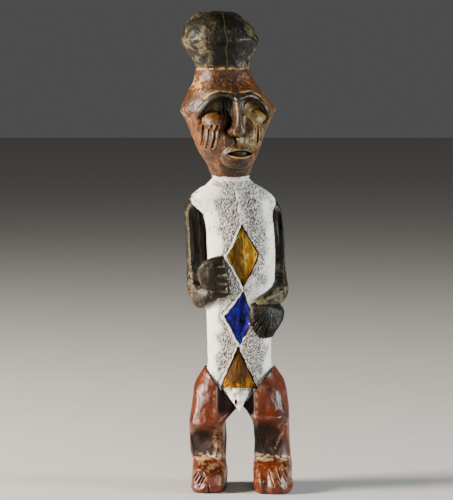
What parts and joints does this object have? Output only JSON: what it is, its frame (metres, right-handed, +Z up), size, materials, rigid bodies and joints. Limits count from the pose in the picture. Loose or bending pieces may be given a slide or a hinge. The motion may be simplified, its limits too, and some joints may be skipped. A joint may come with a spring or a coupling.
{
  "type": "carved standing figure",
  "caption": "Carved standing figure with a mushroom topknot, a diamond-shaped head, a painted trunk with inlaid-looking lozenges, hands held on the belly and bent legs.",
  "frame": {"origin": "on the standing surface, under the middle of the figure's box", "axes": "+Z up along the figure, the figure faces -Y, and its own right side is at -X"},
  "size_m": [0.1066, 0.091, 0.45],
  "materials": {
    "black_patina": "worn black pigment on carved wood, rubbed to olive and tan on the edges",
    "brown_wood": "handled warm brown wood, mottled and polished",
    "white_kaolin": "chalky white earth paint over tool-hatched wood, worn through in places",
    "ochre_paint": "matt yellow-brown earth paint on carved wood",
    "blue_paint": "matt deep blue paint on carved wood",
    "red_wood": "glossy red-brown stained wood with pale residue in the hollows"
  },
  "bodies": {
    "root": {"topknot": "black_patina", "head": "brown_wood", "torso": "white_kaolin", "right_arm": "black_patina", "right_hand": "black_patina", "left_arm": "black_patina", "left_hand": "black_patina", "upper_lozenge": "ochre_paint", "middle_lozenge": "blue_paint", "lower_lozenge": "ochre_paint", "loin_point": "white_kaolin", "right_leg": "red_wood", "left_leg": "red_wood", "right_foot": "red_wood", "left_foot": "red_wood"}
  },
  "joints": []
}
